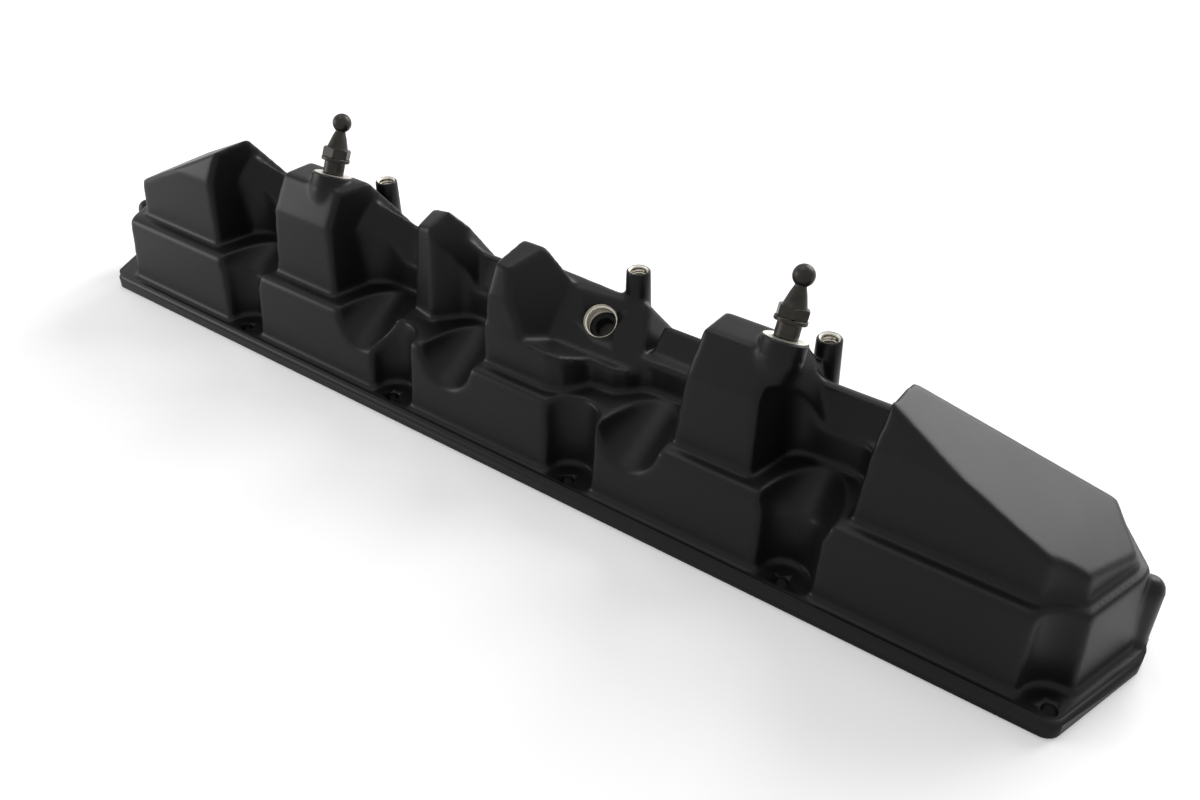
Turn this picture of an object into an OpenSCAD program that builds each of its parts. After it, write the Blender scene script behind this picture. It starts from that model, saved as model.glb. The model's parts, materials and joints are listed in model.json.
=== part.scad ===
/* [Flange] */
// Overall length of the cover, end to end
cover_length = 638; // [632:1:644]
// Overall width of the cover, front edge to rear edge
cover_width = 120; // [118:1:126]
// Thickness of the sealing flange
flange_t = 10; // [9:0.5:12]
// How far the upper half of the flange edge stands back
parting_step = 0.8; // [0.4:0.1:1.2]
// Distance from the flange edge to the bolt row
bolt_inset = 6; // [6:0.5:7]
// Distance between neighbouring flange bolts
bolt_pitch = 120; // [119:0.5:121]
// Diameter of a flange bolt hole
bolt_hole_d = 7; // [6:0.1:7.4]

/* [Lower box] */
// Height of the ledge above the flange
ledge_h = 40; // [39:0.5:42]
// Casting wall thickness
wall = 4; // [3:0.5:4.5]
// Draft angle of the upright walls
draft = 4.4; // [3.5:0.1:5]
// Rounding along the edge of the ledge
ledge_round = 4.5; // [3:0.5:6]
// Radius of the wrench recess at each bolt, at the flange
recess_r = 13.5; // [13:0.25:14.5]
// Radius of the sloping troughs over the front wall
trough_r = 17.2; // [16.5:0.1:17.5]
// Slope of the troughs
trough_slope = 28; // [26:0.5:30]

/* [Towers] */
// Height of the tower roofs above the flange
tower_h = 98; // [96:0.5:99]
// Height at which a front face breaks into its bevel
crease_h = 79; // [77:0.5:80]
// Height of the shelf in the valleys
shelf_h = 58.5; // [57:0.5:60]
// Height of the crest behind the valleys
crest_h = 74; // [72:0.5:75]
// Slope of the rear face from horizontal
rear_slope = 53.9; // [53:0.1:55]

/* [Breather port] */
// Diameter of the threaded port
port_d = 16; // [15:0.5:17]
// Depth of the port thread
port_depth = 12; // [10:0.5:13]
// Diameter of the passage behind the thread
passage_d = 10; // [8:0.5:12]

/* [Threaded posts] */
// Outer diameter of a post at its top
post_d = 12; // [11.5:0.25:13]
// Height of the post tops above the flange
post_h = 88; // [87:0.5:90]
// Outer diameter of a thread insert
insert_d = 9.6; // [9.2:0.1:10]
// Thread diameter of the inserts
insert_thread_d = 8; // [7.4:0.1:8.2]
// Length of an insert
insert_l = 16; // [12:0.5:18]

/* [Ball studs] */
// Ball diameter
ball_d = 10; // [9:0.1:10.5]
// Width across the flats of the hexagon
hex_af = 13; // [12:0.5:14]
// Diameter of the stud collar
collar_d = 15; // [15:0.25:16.5]
// Distance from the boss face to the ball centre
ball_reach = 27.5; // [26.5:0.5:29]
// Diameter of the boss under a stud
boss_d = 21.4; // [20:0.2:23]
// Backward tilt of the studs
stud_tilt = 24; // [22:0.5:26]

/* [Seal and baffle] */
// Width of the gasket
gasket_w = 3.2; // [2.8:0.1:3.4]
// Depth of the gasket groove
groove_depth = 3; // [2:0.25:4]
// Thickness of the baffle plate
baffle_t = 1.5; // [1:0.25:2]

/* [Hidden] */
$fn = 64;
reach = 900;
overlap = 1;

// Heights count from the top of the flange, and depths from the front row of bolts
front_edge = -bolt_inset;
rear_edge = cover_width - bolt_inset;
mid_depth = cover_width / 2 - bolt_inset;
rear_row = 2 * mid_depth;
half_length = cover_length / 2;
middle_bolt_x = 57;
bolt_xs = [for (i = [-2:2]) middle_bolt_x + i * bolt_pitch];
trough_xs = [bolt_xs[0], -85, -24, 90, bolt_xs[3]];

// The two ends come to a blunt point: [depth of the corner, slant of the end faces]
right_corner = 50;
right_slant = 17;
left_corner = 28;
left_slant = 24;
right_margin = 6;
left_margin = 18.5;
right_rear_slant = 36;

wall_front = -0.6;
wall_rear = rear_row - wall_front;
upper_inset = 5.5;
side_turn = tan(12);
tower_front = 11.5;
ridge_y = 43;
bevel_slope = 63.4;
shelf_y = 43.5;
pocket_back = 40.5;
valley_drop = 9.4;

stud_xs = [-126, 150];
stud_y = 34;
stud_h = tower_h + 3;
post_xs = [-118, 53.5, 157];
post_y = 64;

port_point = [45, 44, 65.9];
port_turn = -71.2;
port_lift = 47.5;

fit_gap = 0.1;
stud_thread_d = 8;

// Baffle behind the port: [depth behind the face, half distance between its screws]
baffle_depth = 22;
baffle_screw_y = 15;
screw_d = 5;
screw_l = 10;

// Points along an arc
function arc(c, r, a0, a1, n = 6) =
    [for (i = [0:n]) c + r * [cos(a0 + (a1 - a0) * i / n), sin(a0 + (a1 - a0) * i / n)]];

// Unit vector from p to q
function toward(p, q) = (q - p) / norm(q - p);

// Corner q between p and s, rounded with radius r
function rounded_corner(p, q, s, r, n = 5) =
    let (u = toward(q, p), v = toward(q, s), half = acos(u * v) / 2,
         a = q + u * r / tan(half), b = q + v * r / tan(half),
         c = q + (u + v) / norm(u + v) * r / sin(half))
    [for (i = [0:n]) let (m = a + (b - a) * i / n, d = m - c) c + d / norm(d) * r];

// Closed outline with every corner rounded
function rounded(pts, r) =
    [for (i = [0:len(pts) - 1])
        each rounded_corner(pts[(i + len(pts) - 1) % len(pts)], pts[i], pts[(i + 1) % len(pts)], r)];

// Everything beyond a plane through p, whose normal has this turn and lift,
// once the plane has moved inward by g
module beyond(p, turn, lift, g = 0) {
    translate(p) rotate([0, 0, turn]) rotate([0, -lift, 0])
        translate([-g, -reach, -reach]) cube(2 * reach);
}

// Outline in depth and height, drawn out along X
module along_x(pts, x0, x1) {
    translate([x0, 0, 0]) rotate([90, 0, 90]) linear_extrude(x1 - x0) polygon(pts);
}

// Plain block between two corners
module block(a, b) {
    translate(a) cube(b - a);
}

// Places a child at each flange bolt
module at_bolts() {
    for (x = bolt_xs, y = [0, rear_row]) translate([x, y, 0]) children();
}

// Flange outline, standing in from the edge by m
function flange_outline(m) =
    let (l = half_length - m, f = front_edge + m, r = rear_edge - m,
         dr = (right_corner - front_edge) * tan(right_slant),
         dl = (left_corner - front_edge) * tan(left_slant))
    [[l - dr, f], [l, right_corner], [l, rear_row - right_corner], [l - dr, r],
     [-l + dl, r], [-l, rear_row - left_corner], [-l, left_corner], [-l + dl, f]];

// Removes what lies past the end faces, moved inward by g
module past_ends(g) {
    r = half_length - right_margin;
    l = -half_length + left_margin;
    beyond([r, right_corner, 0], -right_slant, draft, g);
    beyond([r, rear_row - right_corner, 0], right_rear_slant, draft, g);
    beyond([r, 0, 0], 0, draft, g);
    beyond([l, left_corner, 0], 180 + left_slant, draft, g);
    beyond([l, rear_row - left_corner, 0], 180 - left_slant, draft, g);
    beyond([l, 0, 0], 180, draft, g);
}

// Wrench recess round a bolt, widening upward
module recess(g) {
    translate([0, 0, -flange_t]) cylinder(h = ledge_h + flange_t + 30, r1 = recess_r + g - 0.4, r2 = recess_r + g + 3);
}

// Trough that falls over the front wall
module trough(x, g) {
    low = [x, 1, 20.5];
    translate(low) rotate([trough_slope - 90, 0, 0]) translate([0, -trough_r, -40])
        cylinder(h = 100, r = trough_r + g);
}

// Lower box, moved inward by g
module lower_box(g) {
    lean = tan(draft);
    top = ledge_h - g;
    r = ledge_round;
    f = wall_front + g + lean * (top - r);
    b = wall_rear - g - lean * (top - r);
    section = concat(
        [[wall_front + g - lean * flange_t, -flange_t]],
        arc([f + r, top - r], r, 180 - draft, 90),
        arc([b - r, top - r], r, 90, draft),
        [[wall_rear - g + lean * flange_t, -flange_t]]);
    difference() {
        along_x(section, -half_length, half_length);
        past_ends(g);
        past_rear(g);
        at_bolts() recess(g);
        for (x = trough_xs) trough(x, g);
    }
}

// Rear face that towers share, and the lower one behind the valleys
module past_rear(g, drop = 0) {
    beyond([0, ridge_y, tower_h - drop], 90, 90 - rear_slope, g);
}

// Block with a drafted front, a bevel and a rear slope, between two sides
module tower(x0, x1, front, crease, g, bevel = bevel_slope) {
    lean = tan(draft);
    foot = ledge_h - wall - 2;
    difference() {
        block([x0, front - 5, foot], [x1, 120, tower_h + 5]);
        beyond([0, front, ledge_h], -90, draft, g);
        beyond([0, front + lean * (crease - ledge_h), crease], -90, 90 - bevel, g);
        past_rear(g);
    }
}

// Flat roof that falls a little to the rear
module past_roof(g) {
    beyond([0, ridge_y, tower_h - 0.8], 90, 87.5, g);
}

// Upright side of a tower that faces left, with its foot at x
module past_left(x, g, lean = 5) {
    beyond([x, 0, ledge_h], 180, lean, g);
}

// Side of a tower that faces right and a little forward, through x at its front
module past_right(x, g, lean = 2) {
    beyond([x, 15, ledge_h], -12, lean, g);
}

// End tower on the left, with a roof that falls to the left
module tower_1(g) {
    difference() {
        tower(-half_length, -180, tower_front, crease_h, g);
        past_ends(g + upper_inset + 3);
        past_right(-211, g);
        beyond([-208, ridge_y, tower_h - 1], 90, 85, g);
        beyond([-208, ridge_y, tower_h - 1], 180, 64.5, g);
    }
}

// Tower under the left ball stud
module tower_2(g) {
    difference() {
        tower(-190, -80, tower_front, crease_h, g);
        past_left(-160.5, g);
        past_right(-112, g);
        past_roof(g);
    }
}

// Narrow tower that stands back from the others, its front corner cut off toward the pocket
module tower_3(g) {
    top = [-50, ridge_y, tower_h];
    difference() {
        block([-90, 15, ledge_h - wall - 2], [-30, 120, tower_h + 5]);
        past_left(-69, g);
        beyond([-62.6, 27.4, ledge_h], -102.7, draft, g);
        beyond([-42.3, 36.2, ledge_h], -43, 1.5, g);
        beyond([-43, 0, ledge_h], 0, 0, g);
        beyond(top, -131.6, 64.3, g);
        beyond(top, -22, 22, g);
        past_rear(g);
    }
}

// Tower beside the port, with a roof that rises to the rear
module tower_4(g) {
    difference() {
        tower(-30, 60, tower_front, crease_h, g);
        past_left(-5, g, 3);
        beyond([13, 44, tower_h - 1], -18.2, 23.9, g);
        beyond([13, 44, tower_h - 1], -90, 80, g);
        beyond([13, 44, tower_h - 1], 90, 20.8, g);
    }
}

// Tower under the right ball stud
module tower_5(g) {
    difference() {
        tower(90, 175, tower_front, crease_h, g);
        past_left(109, g, 6);
        past_right(151, g);
        past_roof(g);
    }
}

// End tower on the right, with its long roof falling to the right
module tower_6(g) {
    difference() {
        tower(180, half_length, tower_front, crease_h, g);
        past_left(199, g);
        past_ends(g + upper_inset);
        beyond([208, 13, 95], 8.3, 64.1, g);
        at_bolts() recess(g + upper_inset);
    }
}

// Slope from a tower's right side down into the valley
module flank(x, turn, lift, run, g) {
    difference() {
        block([x - 1, pocket_back - 30, ledge_h - wall - 2], [x + 45, 70, tower_h]);
        beyond([x + run, 38, 61.5], turn, lift, g);
        past_rear(g, valley_drop);
        past_roof(g);
    }
}

// Shelf, leaning panel and crest of a valley
module shelf(x0, x1, panel_y, panel_h, panel_lean, g) {
    foot = ledge_h - wall - 2;
    difference() {
        block([x0, pocket_back - 6, foot], [x1, 120, panel_h - g]);
        past_rear(g, valley_drop);
    }
    difference() {
        block([x0, panel_y - 6, foot], [x1, 120, crest_h - g]);
        beyond([0, panel_y, panel_h], -90, 90 - panel_lean, g);
        past_rear(g, valley_drop);
    }
}

// Limits a valley to the room behind its pocket, whose back corners have radii r0 and r1;
// the left side of the pocket may run in at an angle
module behind_pocket(x0, x1, r0, r1, g, angle = 0) {
    c0 = [x0 - 1 + side_turn * (pocket_back - r0 - 15) + r0, pocket_back - r0];
    c1 = [x1 + 1.6 - r1, pocket_back - r1];
    start = c0 + (r0 + g) * [-cos(angle), sin(angle)];
    intersection() {
        translate([0, 0, ledge_h - 30]) linear_extrude(120) polygon(concat(
            [angle > 0 ? start - 24 * [sin(angle), cos(angle)] : [x0 - 6, c0[1]]],
            arc(c0, r0 + g, 180 - angle, 90),
            arc(c1, r1 + g, 90, 0),
            [[x1 + 8, c1[1]], [x1 + 8, 120], [x0 - 6, 120]]));
        union() children();
    }
}

// Block that carries the breather port, on a low base with a waved front wall
module port_block(g) {
    foot = ledge_h - wall - 2;
    back = 90;
    base_plan = [[-5, tower_front + g], [36, tower_front + g], [43, 14 + g], [47, 20 + g], [51, 27 + g], [64, 28.2 + g],
        [69, 32 + g], [74, 37.6 + g], [81, pocket_back + g], [84, pocket_back + g], [84, back], [-5, back]];
    difference() {
        translate([0, 0, foot]) linear_extrude(60) polygon(base_plan);
        past_left(-5, g, 3);
        beyond(port_point, port_turn, port_lift, g);
        beyond([63.5, 59, 74], 6, 20, g);
        past_rear(g);
        beyond([25, 51.7, 77], 0, 85, g);
    }
    difference() {
        translate([0, 0, foot]) linear_extrude(60) polygon(base_plan);
        past_left(-5, g, 3);
        beyond([28, 13.5, 60.5], 73.5, 74.2, g);
        past_rear(g, valley_drop);
    }
}

// Everything above the ledge, moved inward by g
module upper_body(g) {
    tower_1(g);
    tower_2(g);
    tower_3(g);
    tower_4(g);
    tower_5(g);
    tower_6(g);
    port_block(g);
    behind_pocket(-211, -161, 16, 12, g) {
        flank(-211, -49.8, 30.4, 22, g);
        shelf(-215, -150, shelf_y, shelf_h, 68, g);
    }
    behind_pocket(-112, -70, 18, 8, g) {
        flank(-112, -49.8, 30.4, 22, g);
        shelf(-118, -60, shelf_y, shelf_h, 68, g);
    }
    behind_pocket(-47.4, -6, 12, 8, g, 43) {
        flank(-43 - g, -22, 22, 6.9 + g, g);
        shelf(-56, 28, shelf_y, shelf_h, 68, g);
    }
    behind_pocket(79, 108, 0.5, 8, g) shelf(73 + g, 118, 47, 56.5, 43, g);
    behind_pocket(151, 199, 14, 14, g) {
        flank(151, -20.8, 32.8, 15, g);
        shelf(145, 207, shelf_y, shelf_h, 72, g);
    }
}

// Sealing flange, its edge in two steps
module flange() {
    translate([0, 0, -flange_t]) linear_extrude(flange_t * 0.6) polygon(rounded(flange_outline(0), 7));
    translate([0, 0, -flange_t]) linear_extrude(flange_t) polygon(rounded(flange_outline(parting_step), 7));
}

// Solid lug on each end of the flange
module end_lugs() {
    for (p = [[half_length - 7.5, 60], [-half_length + 7.5, 32]])
        translate([p[0], p[1], -flange_t]) {
            cylinder(h = flange_t + 27, d = 13);
            translate([0, 0, flange_t + 27]) sphere(d = 13);
        }
}

// Puts a child on the face of a stud boss, along the axis of the stud
module at_stud(i) {
    translate([stud_xs[i], stud_y, stud_h]) rotate([-stud_tilt, 0, 0]) children();
}

// Puts a child on the face of the port, along its axis
module at_port() {
    translate(port_point) rotate([0, 0, port_turn]) rotate([0, 90 - port_lift, 0]) children();
}

// Puts a child at the head end of each baffle screw hole, pointing outward
module at_baffle_screws() {
    at_port() for (y = [-baffle_screw_y, baffle_screw_y]) translate([0, y, -baffle_depth]) children();
}

// Boss under a ball stud
module stud_boss() {
    translate([0, 0, -11]) cylinder(h = 11, d = boss_d);
    translate([0, 0, -21]) cylinder(h = 10 + overlap / 2, d1 = boss_d - 9, d2 = boss_d);
}

// Upright post with a thread insert
module post() {
    translate([0, 0, post_h - 36]) cylinder(h = 36, d1 = post_d + 1.6, d2 = post_d);
}

// Metal left inside the hollow round the threaded holes
module cores() {
    for (i = [0, 1]) at_stud(i) translate([0, 0, -24]) cylinder(h = 24, d = boss_d - 7);
    for (x = post_xs) translate([x, post_y, post_h - insert_l - 8]) cylinder(h = insert_l, d = post_d + 3);
    at_port() translate([0, 0, -port_depth - 4]) cylinder(h = port_depth + 4, d = port_d + 2 * wall);
    at_baffle_screws() cylinder(h = baffle_depth, d = screw_d + 5);
}

// Groove outline in the underside, between the edge and the inside of the bolts
module groove_plan(w, slack) {
    edge = 2.6;
    ring = bolt_hole_d / 2 + 2.6;
    difference() {
        polygon(rounded(flange_outline(edge + slack), 6));
        for (x = bolt_xs, y = [0, rear_row]) translate([x, y]) circle(r = ring + slack);
        difference() {
            polygon(rounded(flange_outline(edge + w - slack), 4));
            for (x = bolt_xs, y = [0, rear_row]) translate([x, y]) circle(r = ring + w - slack);
        }
    }
}

// The casting, with its hollow and its holes
module cover_casting() {
    difference() {
        union() {
            flange();
            lower_box(0);
            upper_body(0);
            end_lugs();
            for (i = [0, 1]) at_stud(i) stud_boss();
            for (x = post_xs) translate([x, post_y, 0]) post();
        }
        difference() {
            union() {
                lower_box(wall);
                upper_body(wall);
            }
            cores();
        }
        at_bolts() translate([0, 0, -flange_t - overlap]) cylinder(h = flange_t + 2 * overlap, d = bolt_hole_d);
        translate([0, 0, -flange_t - overlap]) linear_extrude(groove_depth + overlap) groove_plan(gasket_w + 0.2, 0);
        for (i = [0, 1]) at_stud(i) translate([0, 0, -16]) cylinder(h = 17, d = stud_thread_d + 2 * fit_gap);
        for (x = post_xs) translate([x, post_y, post_h - insert_l - 1]) {
            cylinder(h = insert_l + 2, d = insert_d + fit_gap);
            translate([0, 0, -4]) cylinder(h = 5, d = insert_thread_d - 1.2);
        }
        at_port() {
            translate([0, 0, -port_depth]) cylinder(h = port_depth + 30, d = port_d);
            translate([0, 0, -port_depth - 10]) cylinder(h = port_depth + 10, d = passage_d);
        }
        at_baffle_screws() translate([0, 0, -overlap]) cylinder(h = screw_l + 2 * overlap, d = screw_d + 2 * fit_gap);
    }
}

// Threaded ball stud: shank, neck, collar, hexagon, taper and ball
module ball_stud() {
    neck_l = 7;
    collar_l = 2;
    hex_l = 5;
    taper_z = neck_l + collar_l + hex_l;
    translate([0, 0, -15]) cylinder(h = 15 + overlap, d = stud_thread_d);
    cylinder(h = neck_l + overlap, d = 11);
    translate([0, 0, neck_l]) cylinder(h = collar_l, d = collar_d);
    translate([0, 0, neck_l]) cylinder(h = collar_l + hex_l, d = hex_af / cos(30), $fn = 6);
    translate([0, 0, taper_z - overlap]) cylinder(h = ball_reach - taper_z, d1 = 10.5, d2 = 5.6);
    translate([0, 0, ball_reach]) sphere(d = ball_d);
}

// Threaded insert pressed into a post
module post_insert() {
    difference() {
        cylinder(h = insert_l, d = insert_d);
        translate([0, 0, -overlap]) cylinder(h = insert_l + 2 * overlap, d = insert_thread_d);
    }
}

// Puts a child into the frame of the part: origin on the underside, in the middle of the flange
module in_frame() {
    translate([0, -mid_depth, flange_t]) children();
}

module cover() {
    color([0.13, 0.13, 0.14]) in_frame() cover_casting();
}

module stud_at(i) {
    color([0.2, 0.2, 0.2]) in_frame() at_stud(i) ball_stud();
}

module insert_at(i) {
    color([0.75, 0.75, 0.74]) in_frame() translate([post_xs[i], post_y, post_h - insert_l - 1]) post_insert();
}

module flange_gasket() {
    color([0.1, 0.1, 0.1]) in_frame() translate([0, 0, -flange_t])
        linear_extrude(groove_depth - 0.1) groove_plan(gasket_w + 0.2, 0.1);
}

// Plate that keeps oil spray off the port passage
module baffle_plate() {
    w = 2 * baffle_screw_y;
    difference() {
        translate([0, 0, -baffle_t]) linear_extrude(baffle_t) union() {
            translate([-9, -baffle_screw_y]) square([18, w]);
            for (y = [-baffle_screw_y, baffle_screw_y]) translate([0, y]) circle(d = 18);
        }
        for (y = [-baffle_screw_y, baffle_screw_y]) translate([0, y, -baffle_t - overlap])
            cylinder(h = baffle_t + 2 * overlap, d = screw_d + 0.5);
    }
}

// Screw with a round head, its head face at the origin and its shank upward
module baffle_screw() {
    translate([0, 0, -3]) cylinder(h = 3, d = 9);
    cylinder(h = baffle_t + screw_l, d = screw_d);
}

module breather_baffle() {
    color([0.6, 0.62, 0.64]) in_frame() at_port() translate([0, 0, -baffle_depth]) baffle_plate();
}

module baffle_screws() {
    color([0.7, 0.7, 0.7]) in_frame() at_baffle_screws() translate([0, 0, -baffle_t]) baffle_screw();
}

cover();
stud_at(0);  // ball_stud_left
stud_at(1);  // ball_stud_right
insert_at(0);  // post_insert_left
insert_at(1);  // post_insert_middle
insert_at(2);  // post_insert_right
flange_gasket();
breather_baffle();
baffle_screws();
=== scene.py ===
"""Looks of a cast aluminium engine valve cover: soft casting, machined holes, studs, threads and studio."""

import json
import logging
import math
from dataclasses import dataclass, field
from enum import Enum

import bpy
import numpy as np
from mathutils import Matrix, Vector
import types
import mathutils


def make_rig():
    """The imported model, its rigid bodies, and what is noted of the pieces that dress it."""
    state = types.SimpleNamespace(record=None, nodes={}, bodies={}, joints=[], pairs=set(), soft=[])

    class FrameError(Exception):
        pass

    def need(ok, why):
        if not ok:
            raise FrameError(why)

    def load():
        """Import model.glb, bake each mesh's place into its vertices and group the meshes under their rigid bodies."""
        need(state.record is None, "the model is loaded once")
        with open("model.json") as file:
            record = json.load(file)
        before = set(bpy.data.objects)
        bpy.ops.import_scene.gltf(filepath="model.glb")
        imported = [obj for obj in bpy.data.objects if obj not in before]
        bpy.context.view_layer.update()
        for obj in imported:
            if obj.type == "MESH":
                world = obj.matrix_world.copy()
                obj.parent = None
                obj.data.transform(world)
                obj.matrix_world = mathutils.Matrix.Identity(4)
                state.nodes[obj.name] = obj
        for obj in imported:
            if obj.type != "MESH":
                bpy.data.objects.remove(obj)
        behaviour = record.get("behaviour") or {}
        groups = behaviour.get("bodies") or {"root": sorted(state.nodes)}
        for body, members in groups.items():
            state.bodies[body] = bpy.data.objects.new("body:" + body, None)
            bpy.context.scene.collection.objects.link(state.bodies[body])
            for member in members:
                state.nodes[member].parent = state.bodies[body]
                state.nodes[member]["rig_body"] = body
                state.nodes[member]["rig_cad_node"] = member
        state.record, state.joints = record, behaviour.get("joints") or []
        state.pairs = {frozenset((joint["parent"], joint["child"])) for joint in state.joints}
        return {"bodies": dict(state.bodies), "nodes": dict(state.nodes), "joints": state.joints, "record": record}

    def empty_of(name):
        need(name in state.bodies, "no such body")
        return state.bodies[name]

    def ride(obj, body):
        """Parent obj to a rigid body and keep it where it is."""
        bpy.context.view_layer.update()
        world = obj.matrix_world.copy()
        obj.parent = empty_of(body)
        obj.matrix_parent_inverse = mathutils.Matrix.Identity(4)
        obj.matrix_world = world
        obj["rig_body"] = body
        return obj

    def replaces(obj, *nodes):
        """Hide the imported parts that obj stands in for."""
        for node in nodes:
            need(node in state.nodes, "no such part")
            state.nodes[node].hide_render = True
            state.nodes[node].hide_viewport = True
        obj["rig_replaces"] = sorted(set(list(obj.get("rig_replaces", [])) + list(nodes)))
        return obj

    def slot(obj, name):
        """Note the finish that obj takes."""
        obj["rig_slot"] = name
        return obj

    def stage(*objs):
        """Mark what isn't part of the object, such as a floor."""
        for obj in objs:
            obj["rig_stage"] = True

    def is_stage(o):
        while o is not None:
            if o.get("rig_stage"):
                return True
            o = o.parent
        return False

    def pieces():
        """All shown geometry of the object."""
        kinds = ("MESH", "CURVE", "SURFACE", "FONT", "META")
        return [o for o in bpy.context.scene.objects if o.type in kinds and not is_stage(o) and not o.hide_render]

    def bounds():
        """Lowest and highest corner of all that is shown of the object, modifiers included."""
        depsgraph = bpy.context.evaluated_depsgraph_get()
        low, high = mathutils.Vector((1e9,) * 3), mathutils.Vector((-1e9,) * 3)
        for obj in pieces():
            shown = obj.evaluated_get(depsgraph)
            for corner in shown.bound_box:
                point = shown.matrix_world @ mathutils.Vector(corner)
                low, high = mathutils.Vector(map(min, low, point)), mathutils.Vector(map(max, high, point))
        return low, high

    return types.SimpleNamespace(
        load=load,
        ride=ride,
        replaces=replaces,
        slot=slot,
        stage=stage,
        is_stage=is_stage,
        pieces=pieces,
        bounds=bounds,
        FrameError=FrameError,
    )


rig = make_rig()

Point = tuple[float, float, float]
Profile = list[tuple[float, float]]
Inputs = dict[str | int, object]

LOG = logging.getLogger("valve_cover")
MM = 0.001
UP = Vector((0, 0, 1))
WHITE = (1, 1, 1, 1)
ROOT_BODY = "root"

# Points nearer than this, in metres, are one point of the solid
WELD = 1e-5
# Half sizes in plan and depth under the origin, in millimetres, of a block that holds the cover's foot
SLAB_X, SLAB_Y, SLAB_UNDER = 400, 90, 20
# A point of a profile nearer to the axis than this, in millimetres, lies on it
ON_AXIS = 1e-6
# Sides of a turned shape that is looked at closely
FINE_STEPS = 64
# Sockets of the Mix node while it mixes colours
MIX_A, MIX_B, MIX_RESULT = 6, 7, 2

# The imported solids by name, set from the frame before main runs
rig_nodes: dict[str, bpy.types.Object] = {}


class Material(Enum):
    """Finishes that the pieces ask for by name."""

    COAT = "black powder coat over cast aluminium"
    MACHINED = "bare machined aluminium"
    PHOSPHATE = "dark phosphated steel"
    INSERT = "turned aluminium insert"
    SEAL = "moulded rubber seal"
    # Oiled sheet steel, shown in a grey dimmed as painted shade deep in the port
    SHEET = "oiled sheet steel"


def linear(hex_colour: str) -> tuple[float, float, float, float]:
    """Turns an sRGB hex colour into the linear colour that a shader socket takes, by the standard's curve.

    Args:
        hex_colour: Six hex digits, with or without a leading hash.

    Returns:
        Red, green, blue and an alpha of 1.
    """
    digits = hex_colour.lstrip("#")
    channels = [int(digits[i : i + 2], 16) / 255 for i in (0, 2, 4)]
    values = [c / 12.92 if c <= 0.04045 else ((c + 0.055) / 1.055) ** 2.4 for c in channels]
    return (values[0], values[1], values[2], 1.0)


def add_node(
    tree: bpy.types.NodeTree, kind: str, links: Inputs | None = None, **settings: object
) -> bpy.types.Node:
    """Adds one node with its settings, socket values and links.

    Args:
        tree: Node tree that gets the node.
        kind: Type name of the node.
        links: Input socket name or index, to a value or to another node's output socket.
        **settings: Attributes of the node itself.

    Returns:
        The new node.
    """
    node = tree.nodes.new(kind)
    for name, value in settings.items():
        setattr(node, name, value)
    for key, value in (links or {}).items():
        if isinstance(value, bpy.types.NodeSocket):
            tree.links.new(value, node.inputs[key])
        else:
            node.inputs[key].default_value = value
    return node


def empty_material(name: str) -> bpy.types.Material:
    """Makes a material whose node tree is still empty.

    Args:
        name: Name of the material.

    Returns:
        The material.
    """
    material = bpy.data.materials.new(name)
    material.use_nodes = True
    material.node_tree.nodes.clear()
    return material


def place_on(tree: bpy.types.NodeTree) -> bpy.types.NodeSocket:
    """Returns the piece's own coordinates, in metres."""
    return add_node(tree, "ShaderNodeTexCoord").outputs["Object"]


def noise(
    tree: bpy.types.NodeTree, place: bpy.types.NodeSocket, size_mm: float, detail: float, grain: float = 0.5
) -> bpy.types.NodeSocket:
    """Adds a cloudy pattern of a real size.

    Args:
        tree: Node tree that gets it.
        place: Coordinates that it reads.
        size_mm: Size of its largest patches, in millimetres.
        detail: How many finer layers it has.
        grain: How strong the finer layers are.

    Returns:
        The pattern, from 0 to 1.
    """
    values = {"Vector": place, "Scale": 1 / (size_mm * MM), "Detail": detail, "Roughness": grain}
    return add_node(tree, "ShaderNodeTexNoise", values).outputs["Fac"]


def two_tones(
    tree: bpy.types.NodeTree, pattern: bpy.types.NodeSocket, low: str, high: str
) -> bpy.types.NodeSocket:
    """Mixes two hex colours by a pattern, and returns the mixed colour."""
    values = {"Factor": pattern, MIX_A: linear(low), MIX_B: linear(high)}
    return add_node(tree, "ShaderNodeMix", values, data_type="RGBA").outputs[MIX_RESULT]


def spread(
    tree: bpy.types.NodeTree, pattern: bpy.types.NodeSocket, low: float, high: float
) -> bpy.types.NodeSocket:
    """Stretches a pattern from 0 to 1 over a range of values."""
    values = {"Value": pattern, "To Min": low, "To Max": high}
    return add_node(tree, "ShaderNodeMapRange", values).outputs["Result"]


def relief(
    tree: bpy.types.NodeTree,
    pattern: bpy.types.NodeSocket,
    strength: float,
    depth_mm: float,
    under: bpy.types.NodeSocket | None = None,
) -> bpy.types.NodeSocket:
    """Raises a pattern as fine relief.

    Args:
        tree: Node tree that gets it.
        pattern: Height, from 0 to 1.
        strength: Share of the relief that shows.
        depth_mm: Depth of the relief, in millimetres.
        under: Coarser relief that this one lies on.

    Returns:
        The surface's bumped direction.
    """
    values = {"Height": pattern, "Strength": strength, "Distance": depth_mm * MM}
    if under is not None:
        values["Normal"] = under
    return add_node(tree, "ShaderNodeBump", values).outputs["Normal"]


def surface(tree: bpy.types.NodeTree, values: Inputs) -> None:
    """Adds the surface shader with its values, and links it to the material's output."""
    shader = add_node(tree, "ShaderNodeBsdfPrincipled", values)
    add_node(tree, "ShaderNodeOutputMaterial", {"Surface": shader.outputs["BSDF"]})


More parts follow.
